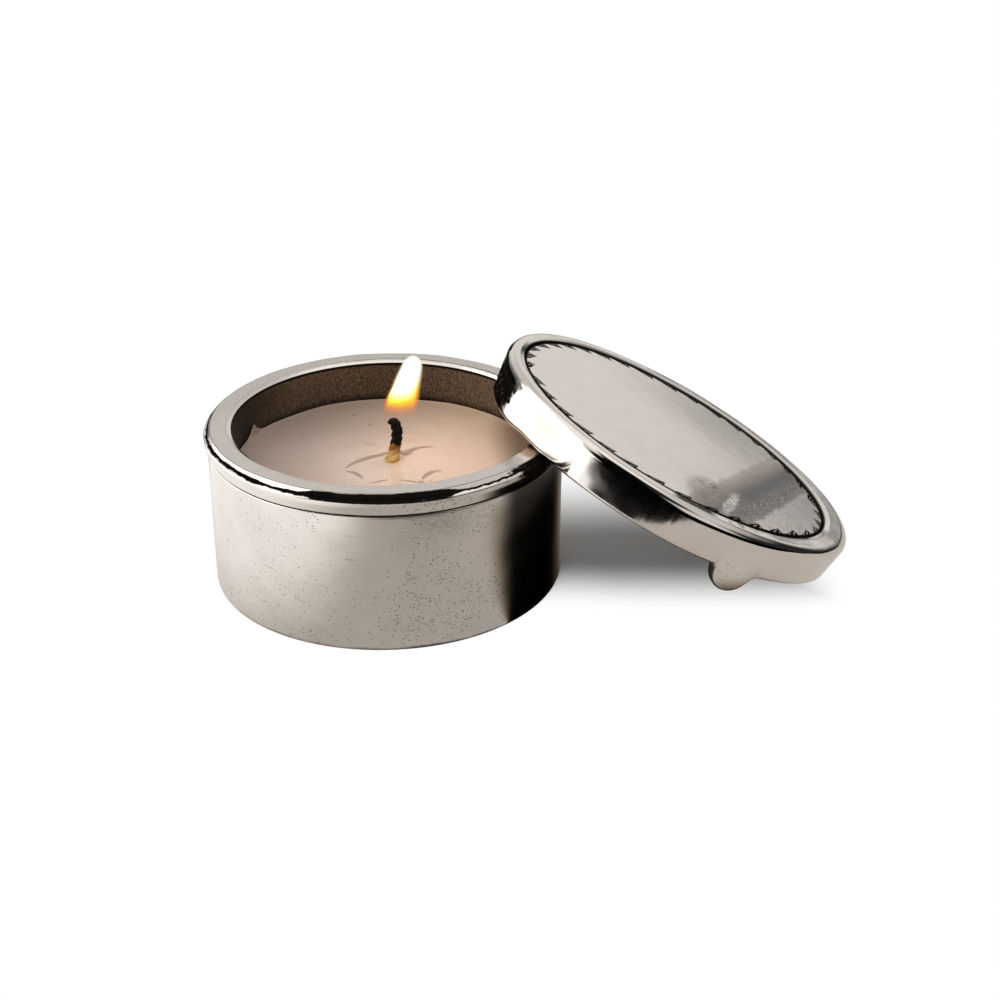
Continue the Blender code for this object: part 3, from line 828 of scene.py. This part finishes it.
# %% Braid the wick
STRANDS = 3
SIDES = 14
WINDING = 40
length = np.linspace(0, 1, len(path))
burnt = ease(path[:, 2], 32.4 * MM, 33.8 * MM)
foot = ease(path[:, 2], 31.8 * MM, 28.9 * MM)
thick = (0.92 + 0.26 * foot - 0.06 * burnt - 0.5 * ease(length, 0.945, 1.0)) * MM
parts, faces = [], []
for strand in range(STRANDS):
    phase = 2 * math.pi * strand / STRANDS + length * WINDING
    offset = np.stack([np.cos(phase), np.sin(phase), 0 * phase], 1) * (thick * 0.52)[:, None]
    rings = sweep(path + offset, thick, SIDES)
    rings += outward(rings - path) * (swell(rings, 0.9, 31 + strand) * 0.09 * MM)[..., None]
    faces += disc_faces(SIDES, len(path), SIDES * len(path) * strand)
    parts.append(rings)
char = np.tile(burnt, SIDES * STRANDS)
braid = make_object("braided_wick", np.concatenate(parts), faces, "box", {"char": char})
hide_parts("wick")

# %% The wick's finish: soaked yellow cotton below, char above
bench = Bench("braided_wick_cotton")
place = bench.place()
x, y, z = bench.apart(place)
fibre = bench.noise(bench.stretched(place, (1, 1, 0.35)), 4200, 3.0, 0.7)
char = (bench.mark("char") + (fibre - 0.5) * 0.5).ease(0.35, 0.65)
cotton = bench.colours(fibre.ease(0.3, 0.7), (0.5, 0.27, 0.07), (0.86, 0.6, 0.22))
scorch = bench.colours(z.ease(0.0305, 0.0325), cotton, (0.3, 0.12, 0.03))
wick_finish = bench.finish({
    "Base Color": bench.colours(char, scorch, (0.006, 0.005, 0.004)), "Roughness": 0.55 + char * 0.35,
    "Normal": bench.bump(fibre, 0.12), "Specular IOR Level": 0.25})
dress(braid, wick_finish)

# %% [markdown]
# ## The flame
#
# A flame has no surface, but closed, leaning teardrops that give off light come
# close.  Four of them sit one inside the other, the outer ones faint and orange, the
# inner ones dense and white, so the edge is soft.  All are transparent just above
# the wick, where the gas is still unburnt.

# %% Shape and light the flame
FLAME_STATIONS = np.array([
    (3.2, -1.0, 39.7, 3.2), (3.5, -1.0, 41.2, 4.0), (4.1, -0.5, 43.9, 4.0), (5.0, 0.5, 46.2, 3.45),
    (6.0, 1.9, 48.9, 3.05), (6.8, 3.0, 50.8, 2.6), (7.1, 3.8, 52.2, 2.1), (7.2, 4.2, 53.0, 0.9)])
FLAME_LOW = 39.7 * MM
FLAME_HIGH = 53.0 * MM


def flame(name, share, lift, clear, most, strength, stops, sides=40):
    """One shell: its width, its foot's lift, where it is clear, and its glow as (height, green, blue)."""
    at = np.linspace(0, len(FLAME_STATIONS) - 1, 60)
    path = np.stack([np.interp(at, range(len(FLAME_STATIONS)), column) for column in FLAME_STATIONS.T], 1)
    for _ in range(10):
        path[1:-1] = (path[:-2] + path[1:-1] * 2 + path[2:]) / 4
    spine = path[:, :3] * MM
    rise = np.linspace(0, 1, len(spine))
    spine[:, 2] += (lift * (1 - rise) - (1 - share) * 1.5 * rise) * MM
    radii = path[:, 3] * MM * share
    angles = around(sides)
    ring = np.stack([np.cos(angles), np.sin(angles) * 0.72, 0 * angles], 1)
    points = spine + ring[:, None] * radii[:, None]
    shell = make_object(name, points, disc_faces(sides, len(spine)), "box")
    bench = Bench(name)
    height = (bench.apart(bench.place())[2] - FLAME_LOW) / (FLAME_HIGH - FLAME_LOW)
    dress(shell, bench.finish({
        "Base Color": (0.0, 0.0, 0.0), "Roughness": 1.0, "Specular IOR Level": 0.0,
        "Alpha": height.ease(*clear) * most, "Emission Strength": strength,
        "Emission Color": bench.ramp(height, [(at, (1.0, green, blue)) for at, green, blue in stops])}))
    shell.visible_glossy = False
    shell.visible_shadow = False


flame("flame_rim_glow", 1.04, 0.0, (0.0, 0.36), 0.18, 0.9,
      [(0.0, 0.2, 0.08), (0.25, 0.24, 0.06), (0.5, 0.5, 0.1), (0.8, 0.92, 0.72)])
flame("flame_outer", 0.93, 0.3, (0.04, 0.42), 0.42, 1.1,
      [(0.0, 0.24, 0.1), (0.28, 0.3, 0.05), (0.48, 0.6, 0.05), (0.75, 0.95, 0.72)])
flame("flame_middle", 0.82, 0.9, (0.14, 0.4), 0.75, 1.5,
      [(0.0, 0.3, 0.08), (0.32, 0.5, 0.02), (0.5, 0.86, 0.2), (0.7, 1.0, 0.8)])
flame("flame_white_heart", 0.76, 2.2, (0.24, 0.42), 1.0, 2.2,
      [(0.0, 0.42, 0.05), (0.36, 0.66, 0.02), (0.5, 0.92, 0.4), (0.6, 1.0, 0.92)])

# %% [markdown]
# ## The lid's ring and its lobe
#
# The lid is a cast ring with a rounded shoulder, a raised border and a tapering
# skirt.  The lobe was cast in one with it: the skirt runs on downward into a round
# tongue, which meets the skirt's edge in a notch on one side and flows into it on the
# other.  A ball joined on would show its own outline on the polished face, so here
# the points of the skirt's lip are drawn down instead.

# %% Turn the ring, with finer columns round the lobe
SKIRT_INNER = 43.4 * MM
SKIRT_FOOT = 46.1 * MM
LID_HEIGHT = 9.7 * MM
PLATE_SEAT = 41.95 * MM
LEDGE = 39.4 * MM
LOBE_ANGLE = math.radians(-79.7)
LIP_TOP = 6.6 * MM - LID_HEIGHT
LIP_SOLID = 1.2 * MM - LID_HEIGHT
outline = rounded([
    (PLATE_SEAT, 0.05 * MM, 0.12), (43.1 * MM, 0.42 * MM, 1.4), (47.45 * MM, 0.36 * MM, 2.1),
    (SKIRT_FOOT, -LID_HEIGHT, 0.7), (SKIRT_INNER, -LID_HEIGHT, 0.8), (SKIRT_INNER, -3.7 * MM, 0),
    (LEDGE, -3.7 * MM, 0), (LEDGE, -2.1 * MM, 0), (PLATE_SEAT, -2.1 * MM, 0)], 0.26)
by_lobe = np.radians(np.arange(-7.0, 14.0, 0.14))
angles = LOBE_ANGLE + np.concatenate([by_lobe, np.radians(np.linspace(14.0, 353.0, 330)[:-1])])
points = turn(outline, angles)
slope = unit(np.roll(outline, -1, 0) - np.roll(outline, 1, 0))
faces_out = turn(np.stack([-slope[:, 1], slope[:, 0]], 1), angles)
print("ring", points.shape[:2], "columns and rows")

# %% Draw the lip down into the lobe: a circle that flows out into the skirt on its right
LOBE_RADIUS = 5.45 * MM
LOBE_SIDE = 0.85 * MM
LOBE_MIDDLE = -0.15 * MM - LID_HEIGHT
side = ((angles - LOBE_ANGLE + math.pi) % (2 * math.pi) - math.pi) * SKIRT_FOOT - LOBE_SIDE
across = np.clip(side, -LOBE_RADIUS, 0.8 * LOBE_RADIUS)
circle = (np.sqrt(LOBE_RADIUS ** 2 - across ** 2) + LOBE_MIDDLE + LID_HEIGHT) / MM
falling = circle - 1.55 * np.maximum(side - 0.8 * LOBE_RADIUS, 0) / MM
eased = np.where(falling > 1.2, falling, 1.2 * np.exp(np.minimum(falling, 1.2) / 1.2 - 1))
depth = np.where(side < 0, circle, eased) * MM * (1 - ease(side, 1.2 * LOBE_RADIUS, 2.2 * LOBE_RADIUS))
depth = np.where((side > -LOBE_RADIUS) & (side < 2.2 * LOBE_RADIUS), np.maximum(depth, 0), 0)
follow = np.clip((LIP_TOP - points[..., 2]) / (LIP_TOP - LIP_SOLID), 0, 1)
lower = points[..., 2] - depth[:, None] * follow
print("lobe hangs", round(depth.max() / MM, 2), "mm below the skirt")

# %% Round the lobe's edge and bulge its face
LOBE_BULGE = 0.35 * MM
LOBE_EDGE = 0.8 * MM
side = side[:, None]
away = np.hypot(side, lower - LOBE_MIDDLE)
edge = np.clip(LOBE_EDGE - (LOBE_RADIUS - away), 0, LOBE_EDGE)
below = ease(lower, 0.1 * MM - LID_HEIGHT, -0.6 * MM - LID_HEIGHT)
below = below * (1 - ease(side, 0.1 * LOBE_RADIUS, 0.75 * LOBE_RADIUS))
rounding = (LOBE_EDGE - np.sqrt(LOBE_EDGE ** 2 - edge ** 2)) * below
# A mark for a painted dark reflection along the lobe's rounded left edge.
notch = ease(edge / LOBE_EDGE, 0.15, 0.45) * below * (1 - ease(side, -0.6 * LOBE_RADIUS, 0))
dome = np.hypot(side, lower - LOBE_MIDDLE + 1.6 * MM) / LOBE_RADIUS
bulge = LOBE_BULGE * np.maximum(1 - dome ** 2, 0) ** 2
outer = (outline[:, 0] > SKIRT_FOOT - 1.0 * MM) & (outline[:, 1] < LIP_TOP)
points += outward(points) * ((bulge - rounding) * outer)[..., None]
points[..., 2] = lower

# %% Leave the ring uneven, hang its raised end lower and shift its border
HANG = 1.1 * MM
HANG_FULL = math.radians(13)
HANG_ENDS = math.radians(26)
points += faces_out * (swell(points, 26, 41) * 0.05 + swell(points, 7, 42) * 0.014)[..., None] * MM
hang = 1 - ease(np.abs(angles % (2 * math.pi) - math.pi), HANG_FULL, HANG_ENDS)
points[..., 2] -= HANG * hang[:, None] * ease(-points[..., 2], 3.8 * MM, LID_HEIGHT)
reach = outline[:, 0]
towards_border = np.clip((46.8 * MM - reach) / (3.8 * MM), 0, 1) * np.clip((reach - LEDGE) / (1.5 * MM), 0, 1)
points[..., 0] += BORDER_SHIFT * towards_border * (outline[:, 1] > -2.3 * MM)
faces = ring_faces(len(angles), len(outline))
ring = make_object("cast_lid_ring", points, faces, "lid", {"notch": notch.ravel()})
dress(ring, lid_finish)
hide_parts("lid_rim", "thumb_lobe")

# %% [markdown]
# ## The engraved plate
#
# The scalloped border was cut by hand with a graver.  A heavy line runs along the
# foot of the raised border; from it each scallop leaves as a tooth that widens to a
# point, shaded with slanting strokes.  The cuts are real grooves, so they catch light
# from any side.  The plate is a polar grid, fine only under the border, and the
# spacing of the teeth is jittered a little, as a hand would.

# %% Lay out the plate's grid and the border
SCALLOPS = 37
PLATE_RADIUS = 41.75 * MM
LINE_RADIUS = 41.45 * MM
columns = 1600
centre = 0.4
radii = np.concatenate([[centre], np.arange(2.5, 36.8, 1.6), np.arange(37.2, 41.7, 0.09), [41.75]]) * MM
reach, angle = np.meshgrid(radii, around(columns))
spacing = 1 + np.random.default_rng(12).uniform(-0.1, 0.1, SCALLOPS)
starts = np.concatenate([[0], np.cumsum(spacing)]) / spacing.sum() * 2 * math.pi
print(SCALLOPS, "scallops on", reach.size, "points")

# %% How deep the graver went at each point, from 0 to 1
random = np.random.default_rng(7)
flat = np.stack([reach * np.cos(angle), reach * np.sin(angle), 0 * reach], -1)
ragged = swell(flat, 0.8, 71)
front = ease(np.cos(angle + 1.9), 0.15, 0.7)
line_at = LINE_RADIUS + (ragged * 0.05 - 0.45 * front) * MM
down = line_at - reach
depth = 1.35 - np.abs(down) / ((0.42 + 0.5 * front) * MM)
for start, end in zip(starts, starts[1:]):
    share = (angle - start) / (end - start)
    here = (share >= 0) & (share < 1)
    share = np.where(start < math.pi, 1 - share, share)
    uphill = 0.5 - 0.5 * math.cos(start)
    length = (1.75 + 0.45 * uphill + random.uniform(-0.25, 0.25)) * MM
    inner = line_at - (0.3 + 0.45 * front) * MM - length * np.clip(share, 0, 1) ** 1.2
    slant = share - 0.45 * down / length
    strokes = 0.8 + 0.75 * np.sin(2 * math.pi * (slant * 3.5 + random.uniform(0, 1))) + ragged * 0.2
    tooth = np.clip((reach - inner) / (0.16 * MM), 0, 1) * np.clip(strokes, 0.3, 1) * (down > 0)
    rim = 1 - np.abs(reach - inner) / (0.19 * MM)
    tip = (1 - (1 - share) * 14) * (reach > inner) * (down > 0)
    cut = np.maximum.reduce([tooth * 0.95, rim * ease(share, 0.2, 0.7), tip])
    depth = np.where(here, np.maximum(depth, cut), depth)
depth = np.clip(depth, 0, 1)
print("cut over", round(100 * (depth > 0).mean()), "% of the points")

# %% Press the cuts in and close the plate below
PLATE_TOP = -0.2 * MM
CUT_DEPTH = 0.2 * MM
flat[..., 2] = PLATE_TOP - depth ** 1.4 * CUT_DEPTH
flat[..., 2] += swell(flat, 40, 51) * 0.045 * MM
underneath = np.array([(PLATE_RADIUS, -PLATE_THICKNESS), (centre * MM, -PLATE_THICKNESS)])
points = np.concatenate([flat, turn(underneath, around(columns))], axis=1) + np.array((BORDER_SHIFT, 0, 0))
cut = np.concatenate([ease(depth, 0.05, 0.5), np.zeros((columns, 2))], axis=1)
faces = disc_faces(columns, len(radii) + 2)
plate = make_object("engraved_plate", points, faces, "lid", {"cut": cut.ravel()})
dress(plate, plate_finish)
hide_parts("lid_plate")

# %% [markdown]
# The locating ring under the plate and the tin disc that holds the wick's foot keep
# their CAD meshes; both are plain turned pieces, and only their finish is missing.

# %% Finish the pieces that stay
bench = Bench("tinned_sustainer")
place = bench.place()
spangle = bench.node("ShaderNodeTexVoronoi", None, {"Vector": place, "Scale": 700.0}, "Color")
tone = bench.apart(spangle)[0]
tin_finish = bench.finish({
    "Base Color": bench.colours(tone, (0.58, 0.58, 0.57), (0.7, 0.7, 0.69)), "Metallic": 1.0,
    "Roughness": 0.25 + tone * 0.15, "Normal": bench.bump(bench.noise(place, 1500), 0.05)})

dress(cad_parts["locating_ring"], underside)
dress(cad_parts["wick_sustainer"], tin_finish)

# %% [markdown]
# ## Table, backdrop and light
#
# The photograph is a cut-out on white: only the shadow between box and lid is left of
# the table, so the table is white paper there and plain white beyond.  Polished metal
# shows the room around it, which matters more than the lamps: a large white softbox
# on the left, a pale wall behind with a dark skirting line, darkness towards the
# camera and on the right, a dark card in front, and a table that fades to black under
# the lid, a painted shadow of the lid.  Only glossy rays see it, as real lamps would
# need far more trial and error.

# %% A sheet of the surroundings
WHITE = (1.0, 1.0, 1.0)
TINY = 0.0001


def sheet(name, corners, material):
    """A flat four-sided piece of the surroundings."""
    mesh = bpy.data.meshes.new(name)
    mesh.from_pydata(corners, [], [(0, 1, 2, 3)])
    made = add_object(name, mesh)
    dress(made, material)
    return made


# %% What the polished metal sees of the table
bench = Bench("white_table")
x, y, z = bench.apart(bench.place())
away = (x * x + y * y) ** 0.5 + TINY
front = 0.49 + x.fade(-0.07, -0.016) * 0.6 + away.ease(0.085, 0.115) * 0.1
foot_x, foot_y = x - 0.025, y + 0.033
foot_reach = (foot_x * foot_x + foot_y * foot_y) ** 0.5 + TINY
# Painted shadow of the lid: the table that the metal sees turns black under the lid.
under_lid = ((foot_x * 0.94 + foot_y * 0.342) / foot_reach).ease(0.55, 0.9) * away.fade(0.092, 0.106)
to_left = ((y * 0.174 - x * 0.985) / away).ease(0.75, 0.82)
to_back = ((x * 0.5 + y * 0.866) / away).ease(0.88, 0.95) * y.ease(0.03, 0.08)
ragged = (bench.noise(bench.place(), 130, 3.0, 0.6) - 0.5) * 0.012
lit = (y - x * 0.285 + ragged).ease(-0.116, -0.1135) * y.fade(0.03, 0.09)
front = front * lit.most(to_left) + to_left * away.ease(0.11, 0.2) * 0.9
back = to_back * y.fade(0.55, 0.75) * 0.74
grade = bench.node("ShaderNodeMix", {"data_type": "FLOAT"}, {0: to_back, 2: front, 3: back})
grade = grade * (1 - under_lid) + y.ease(0.04, 0.12) * 0.02
warmth = bench.colours(x.ease(-0.075, -0.01) * y.fade(0.0, 0.05), (1.0, 0.985, 0.965), (1.0, 0.93, 0.865))
mirrored = bench.glow(bench.colours(under_lid, warmth, (1.0, 0.78, 0.52)), grade)

# %% What the camera sees of it
reach = 3.0
paper = bench.node("ShaderNodeBsdfDiffuse", None, {"Color": WHITE})
row = y + x * 0.12
unshaded = row.fade(-0.024, 0.002).most(row.ease(0.014, 0.058))
unshaded = unshaded.most(x.fade(0.01, 0.03)).most(x.ease(0.085, 0.11))
seen = bench.node("ShaderNodeAddShader", None, {0: paper, 1: bench.glow(WHITE, 0.045)})
seen = bench.shaders(unshaded, seen, bench.glow(WHITE, 1.0))
rays = bench.node("ShaderNodeLightPath", None, None, "Is Camera Ray")
shown = bench.shaders(bench.other(rays, "Is Glossy Ray"), bench.shaders(rays, paper, seen), mirrored)
corners = [(-reach, -reach, 0), (reach, -reach, 0), (reach, reach, 0), (-reach, reach, 0)]
paper_sheet = sheet("table", corners, bench.show(shown))
paper_sheet.location.z = -0.05 * MM

# %% The dark card in front
left = (-0.135, -0.1545)
right = (0.06, -0.099)
high = 0.2
bench = Bench("black_card")
black = bench.finish({"Base Color": (0.002, 0.002, 0.002), "Roughness": 1.0, "Specular IOR Level": 0.0})
card = sheet("dark_card", [(*left, 0), (*right, 0), (*right, high), (*left, high)], black)
card.visible_camera = False
card.visible_diffuse = False
card.visible_shadow = False

# %% The room
bench = Bench("studio", bpy.data.worlds)
bpy.context.scene.world = bench.owner
x, y, z = bench.apart(bench.node("ShaderNodeTexCoord", out="Generated"))
level = (x * x + y * y) ** 0.5 + TINY
wall = z.ease(0.012, 0.032) * 0.76 + 0.06 - z.ease(0.15, 0.45) * 0.14 + z.ease(0.78, 0.92) * 0.42
dim = (x / level).ease(0.55, 0.85) * z.fade(0.28, 0.58)
softbox = ((y * 0.174 - x * 0.985) / level).ease(0.76, 0.8) * z.fade(0.82, 0.9) * 1.3
low_dark = ((y * -0.906 - x * 0.42) / level).ease(0.82, 0.92) * z.fade(0.5, 0.62)
high_dark = (y / level * -1).ease(0.72, 0.84) * z.ease(0.45, 0.58)
behind_camera = low_dark.most(high_dark) * z.fade(0.92, 0.97)
mirrored = wall * (1 - dim.most(behind_camera) * 0.97) + softbox
rays = bench.node("ShaderNodeLightPath", None, None, "Is Camera Ray")
glossy = bench.other(rays, "Is Glossy Ray")
fill = 0.36 + z.ease(0.0, 0.8) * 0.12
strength = fill * (1 - glossy) * (1 - rays) + mirrored * glossy + rays
colour = bench.colours(glossy, WHITE, (1.0, 0.972, 0.94))
background = bench.node("ShaderNodeBackground", None, {"Color": colour, "Strength": strength})
bench.show(background, "ShaderNodeOutputWorld")

# %% The lamps
def lamp(name, kind, size, place, aim, power, colour):
    data = bpy.data.lights.new(name, kind)
    data.energy = power
    data.color = colour
    if kind == "AREA":
        data.shape = "DISK"
        data.size = size
    else:
        data.shadow_soft_size = size
    made = add_object(name, data)
    made.location = place
    made.rotation_euler = (Vector(aim) - Vector(place)).to_track_quat("-Z", "Y").to_euler()
    made.visible_glossy = False
    print(name, "at", place)


lamp("overhead_softbox", "AREA", 0.34, (-0.05, -0.2, 0.6), (0.02, 0, 0), 2.5, (1.0, 0.99, 0.97))
lamp("flame_light", "POINT", 0.003, (0.0055, 0, 0.047), (0, 0, 0), 0.004, (1.0, 0.62, 0.28))

# %% [markdown]
# ## The camera
#
# The camera was found by matching the rim, the seam, the foot and the lid's outline:
# about 45 cm away, 28 degrees up, held 2 degrees out of level.  Its directions are
# written out, since a look-at constraint would lose that small roll.

# %% Place the camera
SENSOR = 36.0
FOCAL_SHARE = 1.82055

data = bpy.data.cameras.new("camera")
data.sensor_width = SENSOR
data.lens = FOCAL_SHARE * SENSOR
data.clip_start = 0.01
right = Vector((0.9935, -0.1137, -0.0023)).normalized()
ahead = Vector((0.1009, 0.8914, -0.4419)).normalized()
up = right.cross(ahead).normalized()
right = ahead.cross(up).normalized()
turned_axes = Matrix((right, up, -ahead)).transposed()
made = add_object("camera", data)
made.matrix_world = Matrix.Translation((-0.01746, -0.39609, 0.21245)) @ turned_axes.to_4x4()
bpy.context.scene.camera = made
print("camera lens", round(data.lens, 2), "mm")
bpy.context.scene.view_settings.view_transform = "Standard"
